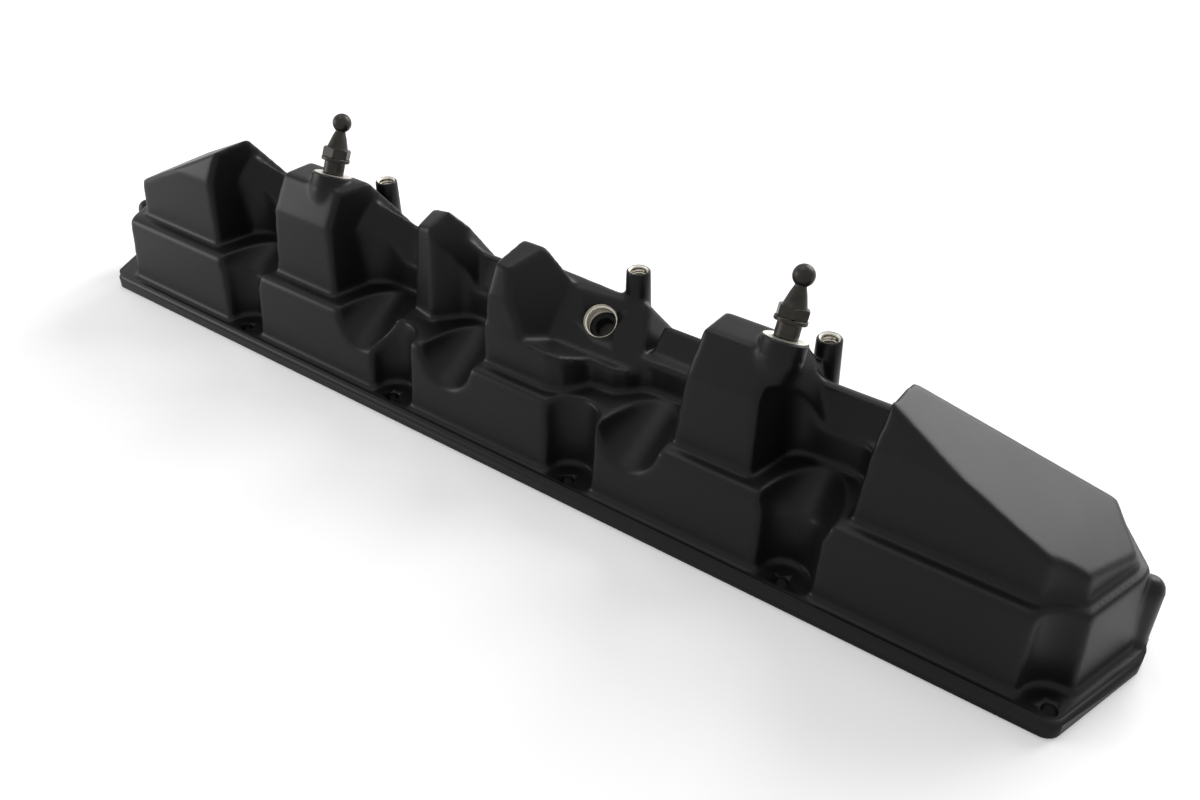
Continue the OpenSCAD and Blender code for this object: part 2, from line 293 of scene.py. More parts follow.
@dataclass(frozen=True)
class PowderCoat:
    """Satin black powder coat: a polyester skin about 80 microns thick that flows into soft waves when baked.

    Roughness and refraction start at a typical 0.4 and 1.5, and were then matched to the object: the real
    coat mirrors so little of a white room that its walls stay nearly black.
    """

    colour: str = "#090909"
    dust: str = "#141416"
    roughness: float = 0.37
    glossier: float = 0.05
    duller: float = 0.07
    ior: float = 1.27
    cloud_mm: float = 70
    cloud_grain: float = 0.6
    peel_mm: float = 2.2
    peel_depth_mm: float = 0.1
    peel_strength: float = 0.16
    grit_mm: float = 0.7
    grit_depth_mm: float = 0.05
    grit_strength: float = 0.12

    def make(self) -> bpy.types.Material:
        """Builds the shader: orange peel and casting grit as relief, and a faint dusty unevenness.

        Returns:
            The material.
        """
        material = empty_material("satin_black_powder_coat")
        tree = material.node_tree
        place = place_on(tree)
        peel = noise(tree, place, self.peel_mm, detail=2.0)
        grit = noise(tree, place, self.grit_mm, detail=1.0)
        cloud = noise(tree, place, self.cloud_mm, detail=5.0, grain=self.cloud_grain)
        waves = relief(tree, peel, self.peel_strength, self.peel_depth_mm)
        surface(
            tree,
            {
                "Base Color": two_tones(tree, cloud, self.colour, self.dust),
                "Roughness": spread(tree, cloud, self.roughness - self.glossier, self.roughness + self.duller),
                "IOR": self.ior,
                "Normal": relief(tree, grit, self.grit_strength, self.grit_depth_mm, waves),
            },
        )
        return material


@dataclass(frozen=True)
class TurnedMetal:
    """Metal cut on a lathe or with a tap, with fine rings left by the tool."""

    name: str
    colour: str
    shade: str
    roughness: float
    glossier: float = 0.08
    duller: float = 0.1
    metallic: float = 1.0
    stain_mm: float = 5
    ring_mm: float = 0.6
    ring_strength: float = 0.25
    ring_depth_mm: float = 0.05
    ring_wander: float = 0.6

    def make(self) -> bpy.types.Material:
        """Builds the shader: tool rings along Z as relief, and stains from oil in the colour.

        Returns:
            The material.
        """
        material = empty_material(self.name)
        tree = material.node_tree
        place = place_on(tree)
        stain = noise(tree, place, self.stain_mm, detail=4.0)
        rings = add_node(
            tree,
            "ShaderNodeTexWave",
            {
                "Vector": place,
                "Scale": 1 / (self.ring_mm * MM) / (2 * math.pi),
                "Distortion": self.ring_wander,
                "Detail": 1.0,
            },
            bands_direction="Z",
        )
        surface(
            tree,
            {
                "Base Color": two_tones(tree, stain, self.shade, self.colour),
                "Metallic": self.metallic,
                "Roughness": spread(tree, stain, self.roughness - self.glossier, self.roughness + self.duller),
                "Normal": relief(tree, rings.outputs["Fac"], self.ring_strength, self.ring_depth_mm),
            },
        )
        return material


@dataclass(frozen=True)
class MouldedRubber:
    """Matt black nitrile rubber out of a moulding tool."""

    colour: str = "#151515"
    bloom: str = "#2a2927"
    roughness: float = 0.72
    patch_mm: float = 9
    patch_strength: float = 0.2
    patch_depth_mm: float = 0.1

    def make(self) -> bpy.types.Material:
        """Builds the shader: a dull skin with a pale bloom in patches.

        Returns:
            The material.
        """
        material = empty_material("moulded_nitrile_rubber")
        tree = material.node_tree
        patches = noise(tree, place_on(tree), self.patch_mm, detail=4.0)
        surface(
            tree,
            {
                "Base Color": two_tones(tree, patches, self.colour, self.bloom),
                "Roughness": self.roughness,
                "Normal": relief(tree, patches, self.patch_strength, self.patch_depth_mm),
            },
        )
        return material


@dataclass
class Finishes:
    """Makes each finish once and hands it out by name."""

    made: dict[Material, bpy.types.Material] = field(default_factory=dict)

    def build(self) -> None:
        """Makes every finish."""
        self.made = {
            # A deep satin black: flat walls go dark, and rounded edges and roofs draw the light
            Material.COAT: PowderCoat().make(),
            # A pale warm silver: the bright rims that tell where a cutter went through the coat
            Material.MACHINED: TurnedMetal("bare_machined_aluminium", "#efece4", "#c4bfb2", 0.42).make(),
            # A brown black with a soft shine, which sets the studs off from the cooler coat
            Material.PHOSPHATE: TurnedMetal("phosphated_steel", "#3d3b38", "#262422", 0.38).make(),
            # A brighter, smoother silver that sparkles in the post tops
            Material.INSERT: TurnedMetal("turned_aluminium", "#d4d0c6", "#9c978c", 0.28).make(),
            # A dull soft black line round the underside
            Material.SEAL: MouldedRubber().make(),
            # A grey kept far dimmer than bare steel, partly its oil film and partly painted shade, so that the port
            # looks deep
            Material.SHEET: TurnedMetal("oiled_sheet_steel_painted_shade", "#5a5853", "#403e3a", 0.45, ring_mm=3.0).make(),
        }

    def get(self, name: Material) -> bpy.types.Material:
        """Returns the finish of that name."""
        return self.made[name]


def mesh_object(name: str, verts: np.ndarray, faces: list[list[int]]) -> bpy.types.Object:
    """Makes an object at the origin from points in metres and faces.

    Args:
        name: Name of the object and its mesh.
        verts: Points, one row each.
        faces: Lists of point numbers, counter-clockwise from outside.

    Returns:
        The object, linked to the scene.
    """
    mesh = bpy.data.meshes.new(name)
    mesh.from_pydata([tuple(map(float, v)) for v in verts], [], faces)
    mesh.update()
    obj = bpy.data.objects.new(name, mesh)
    bpy.context.scene.collection.objects.link(obj)
    return obj


def lathe(name: str, profile: Profile, base: Vector, axis: Vector, steps: int = 48) -> bpy.types.Object:
    """Turns a profile of radius and height round an axis, closed at both ends on the axis.

    Args:
        name: Name of the object.
        profile: Radius and height in millimetres, from the bottom up.
        base: Where height 0 lies, in millimetres.
        axis: Direction of the height.
        steps: Number of sides.

    Returns:
        The turned object.
    """
    turn = UP.rotation_difference(axis).to_matrix()
    rows = [p for p in profile if p[0] > ON_AXIS]
    ring = [(math.cos(2 * math.pi * k / steps), math.sin(2 * math.pi * k / steps)) for k in range(steps)]
    points = [Vector((r * c, r * s, z)) for r, z in rows for c, s in ring]
    points += [Vector((0, 0, profile[0][1])), Vector((0, 0, profile[-1][1]))]
    verts = np.array([(turn @ p + base) * MM for p in points])
    faces = []
    for i in range(len(rows) - 1):
        for k in range(steps):
            m = (k + 1) % steps
            faces.append([i * steps + k, i * steps + m, (i + 1) * steps + m, (i + 1) * steps + k])
    low, high, last = len(points) - 2, len(points) - 1, (len(rows) - 1) * steps
    faces += [[low, (k + 1) % steps, k] for k in range(steps)]
    faces += [[high, last + k, last + (k + 1) % steps] for k in range(steps)]
    return mesh_object(name, verts, faces)


def block(name: str, low: Point, high: Point) -> bpy.types.Object:
    """Makes a block between two corners.

    Args:
        name: Name of the object.
        low: Corner with the smallest x, y and z, in millimetres.
        high: Corner with the largest, in millimetres.

    Returns:
        The block.
    """
    corners = [(x, y, z) for x in (low[0], high[0]) for y in (low[1], high[1]) for z in (low[2], high[2])]
    faces = [[0, 1, 3, 2], [4, 6, 7, 5], [0, 4, 5, 1], [2, 3, 7, 6], [0, 2, 6, 4], [1, 5, 7, 3]]
    return mesh_object(name, np.array(corners) * MM, faces)


def apply_modifiers(obj: bpy.types.Object) -> None:
    """Turns an object's modifiers into plain mesh.

    Args:
        obj: Object that gets the mesh and loses the modifiers.
    """
    graph = bpy.context.evaluated_depsgraph_get()
    mesh = bpy.data.meshes.new_from_object(obj.evaluated_get(graph))
    obj.modifiers.clear()
    old = obj.data
    obj.data = mesh
    bpy.data.meshes.remove(old)


def combine(obj: bpy.types.Object, other: bpy.types.Object, how: str) -> None:
    """Joins another solid to obj, or cuts it out, and removes the other solid.

    Args:
        obj: Solid that changes.
        other: Solid that is used up.
        how: UNION, DIFFERENCE or INTERSECT.
    """
    step = obj.modifiers.new(how, "BOOLEAN")
    step.operation = how
    step.solver = "MANIFOLD"
    step.object = other
    apply_modifiers(obj)
    bpy.data.objects.remove(other)


def welded_copy(node: str, name: str) -> bpy.types.Object:
    """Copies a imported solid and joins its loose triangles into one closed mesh.

    Args:
        node: Name of the solid.
        name: Name of the copy.

    Returns:
        The copy, linked to the scene.
    """
    obj = bpy.data.objects.new(name, bpy.data.meshes.new_from_object(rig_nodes[node]))
    bpy.context.scene.collection.objects.link(obj)
    weld = obj.modifiers.new("weld", "WELD")
    weld.merge_threshold = WELD
    apply_modifiers(obj)
    return obj


def shade(obj: bpy.types.Object, angle: float = 35.0) -> None:
    """Shades faces smooth, with edges sharper than the angle left sharp.

    Args:
        obj: Object whose mesh is shaded.
        angle: Largest angle that is still smooth, in degrees.
    """
    mesh = obj.data
    mesh.polygons.foreach_set("use_smooth", np.ones(len(mesh.polygons), bool))
    mesh.set_sharp_from_angle(angle=math.radians(angle))
    mesh.update()


def from_axis(points: np.ndarray, origin: Vector, axis: Vector) -> tuple[np.ndarray, np.ndarray]:
    """Measures points against an axis.

    Args:
        points: Points in millimetres, one row each.
        origin: Where the axis starts.
        axis: Direction of the axis, one long.

    Returns:
        How far each point lies along the axis, and how far away from it.
    """
    line = np.array(axis)
    way = points - np.array(origin)
    along = way @ line
    return along, np.linalg.norm(way - along[:, None] * line, axis=1)


@dataclass(frozen=True)
class Hole:
    """A round machined hole: where its mouth is, which way it opens, and its size, in millimetres."""

    mouth: Vector
    axis: Vector
    radius: float
    depth: float
    bare: bool = True
    chamfer: float = 0.0


@dataclass
class Casting:
    """The cast cover: softened edges, then crisp flange, posts, bosses and holes, as machining leaves them.

    All sizes are in millimetres, in the part's frame.
    """

    node: str = "cover"
    flange_top: float = 10.0
    # Softening: cell size, rounds, and how far each round pulls a point to its neighbours' middle
    voxel: float = 1.0
    passes: int = 13
    pull: float = 0.6
    triangles: int = 170000
    # The softened casting starts this far under the flange's top, and the crisp flange ends this far under it
    casting_sunk: float = 0.1
    flange_sunk: float = 0.04
    bolt_x: tuple[float, ...] = (-183.0, -63.0, 57.0, 177.0, 297.0)
    bolt_y: float = 54.0
    bolt_r: float = 3.5
    bolt_depth: float = 14.0
    port_at: Vector = Vector((45.0, -10.0, 75.9))
    port_axis: Vector = Vector((0.21773, -0.63953, 0.73728))
    port_r: float = 8.0
    port_depth: float = 12.0
    port_chamfer: float = 0.5
    passage_r: float = 5.0
    passage_depth: float = 22.0
    post_x: tuple[float, ...] = (-118.0, 53.5, 157.0)
    post_y: float = 10.0
    post_foot: float = 72.0
    post_top: float = 98.0
    post_r: float = 6.0
    post_flare: float = 0.7
    post_edge: tuple[float, float] = (0.7, 0.8)
    seat_r: float = 4.85
    seat_depth: float = 17.0
    tail_r: float = 3.4
    tail_depth: float = 21.0
    stud_x: tuple[float, ...] = (-126.0, 150.0)
    stud_at: tuple[float, float] = (-20.0, 111.0)
    stud_axis: Vector = Vector((0.0, 0.40674, 0.91355))
    shank_r: float = 4.1
    shank_depth: float = 16.0
    boss_r: float = 10.7
    boss_edge: float = 0.8
    boss_bare: float = 0.9
    boss_draw: float = 1
    boss_foot: tuple[float, float] = (-9, -7)
    # How near the middle of a bare face lies to a hole's wall, floor and mouth, or to a boss's face
    near_wall: float = 0.15
    near_floor: float = 0.5
    near_mouth: float = 0.2
    near_face: float = 0.3
    # Corners of the block that closes the slit beside the foot of the port's block
    slit: tuple[Point, Point] = ((76.6, -13.9, 55.0), (79.8, -9.0, 63.6))
    # How much wider a plug is than its hole, and how far a drill reaches out of the mouth
    plug_margin: float = 0.8
    drill_reach: float = 6

    def bosses(self) -> list[Vector]:
        """Returns the centre of each stud boss's face."""
        return [Vector((x, *self.stud_at)) for x in self.stud_x]

    def holes(self) -> list[Hole]:
        """Lists every machined hole of the casting.

        Returns:
            The flange bolts, the port and its passage, the seats of the inserts and studs.
        """
        bolts = [Vector((x, side * self.bolt_y, self.flange_top)) for x in self.bolt_x for side in (-1, 1)]
        posts = [Vector((x, self.post_y, self.post_top)) for x in self.post_x]
        found = [Hole(p, UP, self.bolt_r, self.bolt_depth, bare=False) for p in bolts]
        found += [Hole(self.port_at, self.port_axis, self.port_r, self.port_depth, chamfer=self.port_chamfer)]
        found += [Hole(self.port_at, self.port_axis, self.passage_r, self.passage_depth, bare=False)]
        found += [Hole(p, UP, self.seat_r, self.seat_depth) for p in posts]
        found += [Hole(p, UP, self.tail_r, self.tail_depth) for p in posts]
        found += [Hole(p, self.stud_axis, self.shank_r, self.shank_depth) for p in self.bosses()]
        return found

    def soften(self, obj: bpy.types.Object) -> None:
        """Rounds every edge by moving each point towards its neighbours' middle, again and again.

        Args:
            obj: Object whose mesh is softened.
        """
        mesh = obj.data
        n = len(mesh.vertices)
        co = np.empty(n * 3, np.float32)
        mesh.vertices.foreach_get("co", co)
        co = co.reshape(n, 3).astype(np.float64)
        ends = np.empty(len(mesh.edges) * 2, np.int32)
        mesh.edges.foreach_get("vertices", ends)
        a, b = ends[0::2], ends[1::2]
        count = np.bincount(a, minlength=n) + np.bincount(b, minlength=n)
        for _ in range(self.passes):
            for k in range(3):
                total = np.bincount(a, co[b, k], n) + np.bincount(b, co[a, k], n)
                co[:, k] += self.pull * (total / count - co[:, k])
        mesh.vertices.foreach_set("co", co.astype(np.float32).ravel())
        mesh.update()

    def plug(self, hole: Hole) -> bpy.types.Object:
        """Fills a hole before the edges are softened, so that it can be cut crisp afterwards.

        Args:
            hole: The hole to fill.

        Returns:
            A plug a little wider than the hole, which ends where the casting does.
        """
        depth = self.flange_top if hole.radius == self.bolt_r else hole.depth
        base = hole.mouth - hole.axis * depth
        height = (hole.mouth - base).length
        wide = hole.radius + self.plug_margin
        return lathe("plug", [(0, 0), (wide, 0), (wide, height), (0, height)], base, hole.axis)

    def cutter(self, hole: Hole) -> bpy.types.Object:
        """Makes the drill for a hole.

        Args:
            hole: The hole to cut.

        Returns:
            The drill, which reaches a little out of the hole's mouth.
        """
        base = hole.mouth - hole.axis * hole.depth
        height = hole.depth + self.drill_reach
        r, c = hole.radius, hole.chamfer
        edge = [(r, hole.depth - c), (r + c, hole.depth), (r + c, height)] if c else [(r, height)]
        return lathe("drill", [(0, 0), (r, 0), *edge, (0, height)], base, hole.axis, FINE_STEPS)

    def blank(self) -> bpy.types.Object:
        """Copies the solid, fills its holes and rounds all of its edges.

        Returns:
            The soft casting without a hole in it.
        """
        blank = welded_copy(self.node, "cast_cover")
        plugs = [self.plug(h) for h in self.holes()] + [block("slit_fill", *self.slit)]
        for o in bpy.context.view_layer.objects:
            o.select_set(o in (blank, *plugs))
        bpy.context.view_layer.objects.active = blank
        bpy.ops.object.join()
        remesh = blank.modifiers.new("remesh", "REMESH")
        remesh.mode = "VOXEL"
        remesh.voxel_size = self.voxel * MM
        apply_modifiers(blank)
        self.soften(blank)
        thin = blank.modifiers.new("thin", "DECIMATE")
        thin.ratio = min(1.0, self.triangles / (2 * len(blank.data.polygons)))
        apply_modifiers(blank)
        return blank

    def flat_slab(self, top: float) -> bpy.types.Object:
        """Makes a block larger than the cover in plan, from under it up to a height."""
        return block("slab", (-SLAB_X, -SLAB_Y, -SLAB_UNDER), (SLAB_X, SLAB_Y, top))

    def crisp_flange(self) -> bpy.types.Object:
        """Cuts the flange off the exact solid, to keep its sharp edges.

        Returns:
            The flange.
        """
        flange = welded_copy(self.node, "flange_slice")
        combine(flange, self.flat_slab(self.flange_top - self.flange_sunk), "INTERSECT")
        return flange

    def post(self, x: float) -> bpy.types.Object:
        """Turns one threaded post.

        Args:
            x: Place of the post along the cover.

        Returns:
            The post, a little wider at its foot and with its top edge broken.
        """
        height = self.post_top - self.post_foot
        across, down = self.post_edge
        rim = [
            (0, 0),
            (self.post_r + self.post_flare, 0),
            (self.post_r, height - down),
            (self.post_r - across, height),
            (0, height),
        ]
        return lathe("post", rim, Vector((x, self.post_y, self.post_foot)), UP)

    def boss(self, face: Vector) -> bpy.types.Object:
        """Turns the boss under one stud.

        Args:
            face: Centre of the boss's face.

        Returns:
            The boss, with its lower end drawn in and its upper edge broken.
        """
        r, edge = self.boss_r, self.boss_edge
        foot, full = self.boss_foot
        rim = [(0, foot), (r - self.boss_draw, foot), (r, full), (r, -edge), (r - edge, 0), (0, 0)]
        return lathe("boss", rim, face, self.stud_axis, FINE_STEPS)

    def bare_faces(self, centre: np.ndarray) -> np.ndarray:
        """Finds the faces that a tool cut through the coat.

        Args:
            centre: Middle of each face in millimetres, one row each.

        Returns:
            True for each face on a bare hole's wall or chamfer, or on a stud boss's face.
        """
        bare = np.zeros(len(centre), bool)
        for hole in self.holes():
            along, away = from_axis(centre, hole.mouth, hole.axis)
            inside = (along > -hole.depth - self.near_floor) & (along < -self.near_mouth)
            wall = inside & (np.abs(away - hole.radius) < self.near_wall)
            ring = (away > hole.radius) & (away < hole.radius + hole.chamfer)
            rim = ring & (np.abs(along + hole.chamfer / 2) < self.near_mouth)
            bare |= (wall | rim) & hole.bare
        for face in self.bosses():
            along, away = from_axis(centre, face, self.stud_axis)
            bare |= (away < self.boss_r - self.boss_bare) & (np.abs(along) < self.near_face)
        return bare

    def dress(self, obj: bpy.types.Object, finishes: Finishes) -> None:
        """Gives coat to the casting and bare metal to what a tool cut.

        Args:
            obj: The finished casting.
            finishes: Where the materials come from.
        """
        obj.data.materials.clear()
        obj.data.materials.append(finishes.get(Material.COAT))
        obj.data.materials.append(finishes.get(Material.MACHINED))
        n = len(obj.data.polygons)
        centre = np.empty(n * 3, np.float32)
        obj.data.polygons.foreach_get("center", centre)
        bare = self.bare_faces(centre.reshape(n, 3) / MM)
        obj.data.polygons.foreach_set("material_index", bare.astype(np.int32))

    def build(self, finishes: Finishes) -> bpy.types.Object:
        """Makes the whole casting and hands it over in place of the plain solid.

        Args:
            finishes: Where the materials come from.

        Returns:
            The finished casting.
        """
        cover = self.blank()
        LOG.info("casting softened: %d faces", len(cover.data.polygons))
        combine(cover, self.flat_slab(self.flange_top - self.casting_sunk), "DIFFERENCE")
        for x in self.post_x:
            combine(cover, self.post(x), "UNION")
        for face in self.bosses():
            combine(cover, self.boss(face), "UNION")
        for hole in self.holes():
            combine(cover, self.cutter(hole), "DIFFERENCE")
        combine(cover, self.crisp_flange(), "UNION")
        self.dress(cover, finishes)
        shade(cover)
        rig.replaces(cover, self.node)
        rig.slot(cover, "black_coat")
        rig.ride(cover, ROOT_BODY)
        return cover


@dataclass
class ThreadMaker:
    """Cuts visible threads as winding ridges, made by Geometry Nodes along a helix.

    Pitches, ridges and depths are in millimetres, and a ridge is given by half its height.
    """

    port_pitch: float = 1.5
    port_ridge: float = 0.3
    post_r: float = 4.0
    post_depth: float = 16.0
    post_below: float = 1
    post_pitch: float = 1.25
    post_ridge: float = 0.4
    # How far the ridge's middle stands inside the hole's wall
    sink: float = 0.1
    points_per_turn: int = 40
    ridge_sides: int = 4
    tree: bpy.types.NodeTree | None = None

    def build_tree(self) -> None:
        """Makes the node tree: a helix swept with a four-sided ridge."""
        tree = bpy.data.node_groups.new("thread_ridge", "GeometryNodeTree")
        for name in ("Radius", "Length", "Turns", "Ridge"):
            tree.interface.new_socket(name, in_out="INPUT", socket_type="NodeSocketFloat")
        tree.interface.new_socket("Finish", in_out="INPUT", socket_type="NodeSocketMaterial")
        tree.interface.new_socket("Geometry", in_out="OUTPUT", socket_type="NodeSocketGeometry")
        given = add_node(tree, "NodeGroupInput").outputs
        helix = add_node(
            tree,
            "GeometryNodeCurveSpiral",
            {
                "Resolution": self.points_per_turn,
                "Rotations": given["Turns"],
                "Start Radius": given["Radius"],
                "End Radius": given["Radius"],
                "Height": given["Length"],
            },
        )
        ridge = add_node(
            tree, "GeometryNodeCurvePrimitiveCircle", {"Resolution": self.ridge_sides, "Radius": given["Ridge"]}
        )
        swept = add_node(
            tree,
            "GeometryNodeCurveToMesh",
            {"Curve": helix.outputs["Curve"], "Profile Curve": ridge.outputs["Curve"], "Fill Caps": True},
        )
        real = add_node(tree, "GeometryNodeRealizeInstances", {"Geometry": swept.outputs["Mesh"]})
        dressed = add_node(
            tree, "GeometryNodeSetMaterial", {"Geometry": real.outputs["Geometry"], "Material": given["Finish"]}
        )
        add_node(tree, "NodeGroupOutput", {"Geometry": dressed.outputs["Geometry"]})
        self.tree = tree

    def cut(
        self, name: str, hole: Hole, pitch: float, ridge: float, finish: bpy.types.Material
    ) -> bpy.types.Object:
        """Winds one thread in a hole.

        Args:
            name: Name of the piece.
            hole: The hole that the thread lines.
            pitch: Distance between turns, in millimetres.
            ridge: Half height of the ridge, in millimetres.
            finish: Material of the thread.

        Returns:
            The thread as a plain mesh at the origin.
        """
        obj = mesh_object(name, np.zeros((0, 3)), [])
        length = hole.depth - 2 * pitch
        values = {
            "Radius": (hole.radius - self.sink) * MM,
            "Length": length * MM,
            "Turns": length / pitch,
            "Ridge": ridge * MM,
            "Finish": finish,
        }
        step = obj.modifiers.new("thread", "NODES")
        step.node_group = self.tree
        for item in self.tree.interface.items_tree:
            if item.item_type == "SOCKET" and item.in_out == "INPUT":
                step[item.identifier] = values[item.name]
        apply_modifiers(obj)
        turn = UP.rotation_difference(hole.axis).to_matrix().to_4x4()
        base = (hole.mouth - hole.axis * (hole.depth - pitch)) * MM
        obj.data.transform(Matrix.Translation(base) @ turn)
        shade(obj, angle=50)
        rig.ride(obj, ROOT_BODY)
        return obj

    def build(self, casting: Casting, finishes: Finishes) -> None:
        """Cuts the threads of the port and of the three post inserts.

        Args:
            casting: The casting, which gives the places.
            finishes: Where the materials come from.
        """
        self.build_tree()
        bare, insert = finishes.get(Material.MACHINED), finishes.get(Material.INSERT)
        port = Hole(casting.port_at, casting.port_axis, casting.port_r, casting.port_depth)
        thread = self.cut("port_thread", port, self.port_pitch, self.port_ridge, bare)
        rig.slot(thread, "insert_metal")
        for name, x in zip(("left", "middle", "right"), casting.post_x):
            top = Vector((x, casting.post_y, casting.post_top - self.post_below))
            hole = Hole(top, UP, self.post_r, self.post_depth)
            thread = self.cut(f"post_thread_{name}", hole, self.post_pitch, self.post_ridge, insert)
            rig.slot(thread, "insert_metal")


@dataclass
class BallStud:
    """A turned ball stud with a hexagon, its edges broken as the tool leaves them.

    Heights count from the boss's face, in millimetres.
    """

    node: str
    face: Vector
    axis: Vector
    ball_r: float = 5.0
    ball_at: float = 27.5
    ball_rings: int = 26
    waist: float = 2.7
    waist_at: float = 22.7
    taper: tuple[tuple[float, float], ...] = ((5.4, 14.5), (4.9, 16.2), (3.9, 19.6), (3.0, 22.0))
    neck_r: float = 5.7
    collar_r: float = 7.5
    collar_at: tuple[float, float] = (7.0, 9.0)
    collar_edge: float = 0.3
    sleeve_r: float = 5.5
    sleeve_edge: float = 0.4
    shank_r: float = 4.0
    shank_end: float = -15.0
    shank_edge: tuple[float, float] = (0.4, 0.6)
    across_flats: float = 13.0
    hexagon_at: tuple[float, float] = (9.0, 14.0)
    # How far the cone that turns the corners down comes in at the faces, reaches down the sides and past both
    hexagon_turned: float = 0.9
    hexagon_edge: float = 0.6
    hexagon_past: float = 0.1

    def hexagon(self) -> bpy.types.Object:
        """Makes the hexagon.

        Returns:
            The hexagon, with its corners turned down to a cone above and below.
        """
        sides = 6
        low, high = self.hexagon_at
        r = self.across_flats / 2 / math.cos(math.pi / sides)
        hexa = lathe("hexagon", [(0, low), (r, low), (r, high), (0, high)], self.face, self.axis, sides)
        turned, edge, past = self.hexagon_turned, self.hexagon_edge, self.hexagon_past
        cone = [
            (0, low - past),
            (r - turned, low - past),
            (r + past, low + edge),
            (r + past, high - edge),
            (r - turned, high + past),
            (0, high + past),
        ]
        combine(hexa, lathe("chamfer", cone, self.face, self.axis, FINE_STEPS), "INTERSECT")
        return hexa

    def profile(self) -> Profile:
        """Lists the turned profile from the shank's end up.

        Returns:
            Radius and height of the shank, sleeve, collar, neck and ball.
        """
        low, high = self.collar_at
        r, end, (across, up) = self.shank_r, self.shank_end, self.shank_edge
        shank = [(0, end), (r - across, end), (r, end + up), (r, 0)]
        r, inward, edge = self.sleeve_r, self.sleeve_edge, self.collar_edge
        sleeve = [(r - inward, 0), (r, inward), (r, low - edge), (r + inward, low)]
        r = self.collar_r
        collar = [(r - edge, low), (r, low + edge), (r, high - edge), (r - edge, high)]
        neck = [(self.neck_r, high), (self.neck_r, self.hexagon_at[1]), *self.taper]
        start = math.degrees(math.asin(self.waist / self.ball_r))
        ball = [
            (self.ball_r * math.sin(math.radians(t)), self.ball_at - self.ball_r * math.cos(math.radians(t)))
            for t in np.linspace(start, 180, self.ball_rings)
        ]
        top = [(0, self.ball_at + self.ball_r)]
        return shank + sleeve + collar + neck + [(self.waist, self.waist_at)] + ball[:-1] + top

    def build(self, finishes: Finishes) -> bpy.types.Object:
        """Turns the stud and hands it over in place of the plain solid.

        Args:
            finishes: Where the materials come from.

        Returns:
            The finished stud.
        """
        stud = lathe(self.node + "_turned", self.profile(), self.face, self.axis, FINE_STEPS)
        combine(stud, self.hexagon(), "UNION")
        stud.data.materials.clear()
        stud.data.materials.append(finishes.get(Material.PHOSPHATE))
        shade(stud, angle=32)
        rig.replaces(stud, self.node)
        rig.slot(stud, "stud_steel")
        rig.ride(stud, ROOT_BODY)
        return stud


@dataclass
class PlainPieces:
    """Pieces whose solid is right as it is, and which only take a finish."""

    finish_of: dict[str, Material] = field(
        default_factory=lambda: {
            "post_insert_left": Material.INSERT,
            "post_insert_middle": Material.INSERT,
            "post_insert_right": Material.INSERT,
            "flange_gasket": Material.SEAL,
            "breather_baffle": Material.SHEET,
            "baffle_screws": Material.INSERT,
        }
    )

    def build(self, finishes: Finishes) -> None:
        """Gives each piece its finish.

        Args:
            finishes: Where the materials come from.
        """
        for node, finish in self.finish_of.items():
            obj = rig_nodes[node]
            obj.data.materials.clear()
            obj.data.materials.append(finishes.get(finish))
            LOG.info("%s wears %s", node, finish.value)


@dataclass(frozen=True)
class SoftBox:
    """A square soft lamp: where it hangs and what it faces, its side in metres, and its power in watts."""

    name: str
    at: Point
    aim: Point
    side: float
    watts: float

    def hang(self) -> None:
        """Makes the lamp and turns it to what it faces."""
        data = bpy.data.lights.new(self.name, "AREA")
        data.shape = "SQUARE"
        data.size = self.side
        data.energy = self.watts
        obj = bpy.data.objects.new(self.name, data)
        turn = (Vector(self.aim) - Vector(self.at)).to_track_quat("-Z", "Y").to_matrix().to_4x4()
        obj.matrix_world = Matrix.Translation(Vector(self.at)) @ turn
        bpy.context.scene.collection.objects.link(obj)


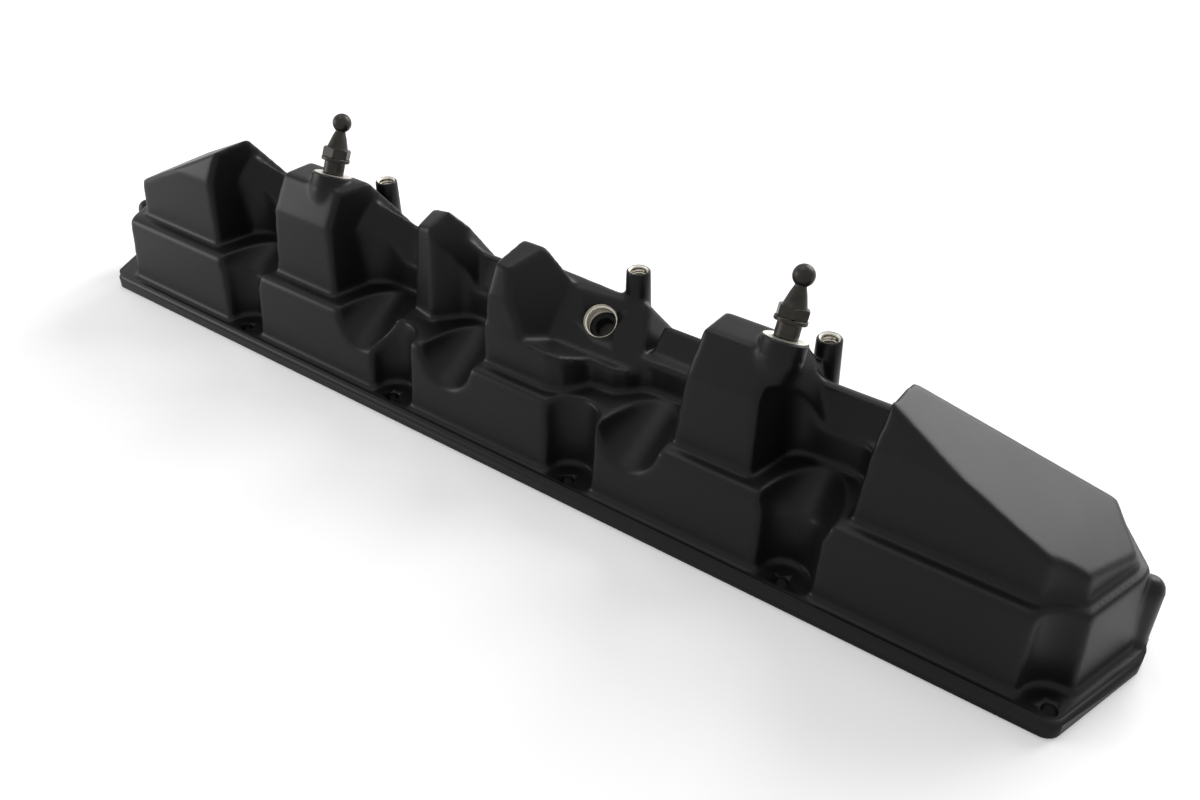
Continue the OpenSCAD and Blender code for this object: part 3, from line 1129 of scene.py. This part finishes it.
@dataclass
class Studio:
    """White floor, soft lamps and the camera at the photograph's angle."""

    camera_at: Vector = Vector((0.335, -0.4008, 0.3801))
    yaw: float = 36.63
    pitch: float = 35.89
    roll: float = -0.36
    lens: float = 35.055
    sensor: float = 36
    nearest: float = 0.01
    floor_half: float = 6.0
    floor_gap: float = 0.0004
    floor_paint: str = "#eeeeee"
    floor_glow: float = 0.22
    ambient: float = 0.45
    shown: float = 1.0
    lamps: tuple[SoftBox, ...] = (
        SoftBox("back_softbox", (0.5, 1.9, 1.25), (0.05, 0, 0.05), 1.6, 54),
        SoftBox("top_softbox", (-0.5, 0.2, 1.7), (0, 0, 0.05), 1.1, 7),
        SoftBox("left_softbox", (-1.35, -0.85, 0.4), (-0.25, 0, 0.05), 0.7, 8),
    )

    def camera(self) -> None:
        """Places the camera, and makes it the scene's."""
        yaw, pitch, roll = (math.radians(v) for v in (self.yaw, self.pitch, self.roll))
        level = Vector((-math.sin(yaw), math.cos(yaw), 0))
        ahead = level * math.cos(pitch) + Vector((0, 0, -math.sin(pitch)))
        right = Vector((math.cos(yaw), math.sin(yaw), 0))
        up = right.cross(ahead)
        right, up = right * math.cos(roll) + up * math.sin(roll), up * math.cos(roll) - right * math.sin(roll)
        data = bpy.data.cameras.new("camera")
        data.lens = self.lens
        data.sensor_width = self.sensor
        data.clip_start = self.nearest
        obj = bpy.data.objects.new("camera", data)
        turn = Matrix((right, up, -ahead)).transposed().to_4x4()
        obj.matrix_world = Matrix.Translation(self.camera_at) @ turn
        bpy.context.scene.collection.objects.link(obj)
        bpy.context.scene.camera = obj

    def sight(self, tree: bpy.types.NodeTree) -> bpy.types.NodeSocket:
        """Tells rays that see the room from rays that light it.

        Args:
            tree: Node tree that gets the nodes.

        Returns:
            1 for a ray that sees the room straight, in a gloss or through glass, and 0 for one that lights.
        """
        path = add_node(tree, "ShaderNodeLightPath").outputs
        either = {0: path["Is Camera Ray"], 1: path["Is Glossy Ray"]}
        gloss = add_node(tree, "ShaderNodeMath", either, operation="MAXIMUM")
        any_of = {0: gloss.outputs[0], 1: path["Is Transmission Ray"]}
        return add_node(tree, "ShaderNodeMath", any_of, operation="MAXIMUM").outputs[0]

    def floor(self) -> None:
        """Lays a white floor that shows the camera a pale tone and keeps the object's shadow."""
        s, z = self.floor_half, -self.floor_gap
        corners = np.array([(-s, -s, z), (s, -s, z), (s, s, z), (-s, s, z)])
        floor = mesh_object("floor", corners, [[0, 1, 2, 3]])
        material = empty_material("white_studio_floor")
        tree = material.node_tree
        paint = add_node(tree, "ShaderNodeBsdfDiffuse", {"Color": linear(self.floor_paint)}).outputs[0]
        glow = add_node(tree, "ShaderNodeEmission", {"Color": WHITE, "Strength": self.floor_glow}).outputs[0]
        both = add_node(tree, "ShaderNodeAddShader", {0: paint, 1: glow}).outputs[0]
        seen = add_node(tree, "ShaderNodeMixShader", {0: self.sight(tree), 1: paint, 2: both}).outputs[0]
        add_node(tree, "ShaderNodeOutputMaterial", {"Surface": seen})
        floor.data.materials.append(material)
        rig.stage(floor)

    def world(self) -> None:
        """Fills the room with soft white light, and shows it white."""
        world = bpy.data.worlds.new("white_room")
        bpy.context.scene.world = world
        world.use_nodes = True
        tree = world.node_tree
        tree.nodes.clear()
        light = add_node(tree, "ShaderNodeBackground", {"Color": WHITE, "Strength": self.ambient}).outputs[0]
        shown = add_node(tree, "ShaderNodeBackground", {"Color": WHITE, "Strength": self.shown}).outputs[0]
        mix = add_node(tree, "ShaderNodeMixShader", {0: self.sight(tree), 1: light, 2: shown}).outputs[0]
        add_node(tree, "ShaderNodeOutputWorld", {"Surface": mix})

    def build(self) -> None:
        """Sets up the whole studio."""
        self.camera()
        self.floor()
        self.world()
        for lamp in self.lamps:
            lamp.hang()
        bpy.context.scene.view_settings.view_transform = "Standard"


def main() -> None:
    """Builds every piece in order and reports each one."""
    finishes = Finishes()
    finishes.build()
    Studio().build()
    LOG.info("studio ready")
    casting = Casting()
    cover = casting.build(finishes)
    LOG.info("cover: %d faces", len(cover.data.polygons))
    for node, face in zip(("ball_stud_left", "ball_stud_right"), casting.bosses()):
        stud = BallStud(node, face, casting.stud_axis).build(finishes)
        LOG.info("%s: %d faces", node, len(stud.data.polygons))
    ThreadMaker().build(casting, finishes)
    LOG.info("threads of the port and the posts cut")
    PlainPieces().build(finishes)


if __name__ == "__main__":
    logging.basicConfig(level=logging.INFO, format="%(name)s: %(message)s")
    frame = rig.load()
    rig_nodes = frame["nodes"]
    cad_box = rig.bounds()
    main()
    seen_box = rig.bounds()
    with open("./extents.json", "w") as out:
        json.dump({"cad": [list(v) for v in cad_box], "visual": [list(v) for v in seen_box]}, out)
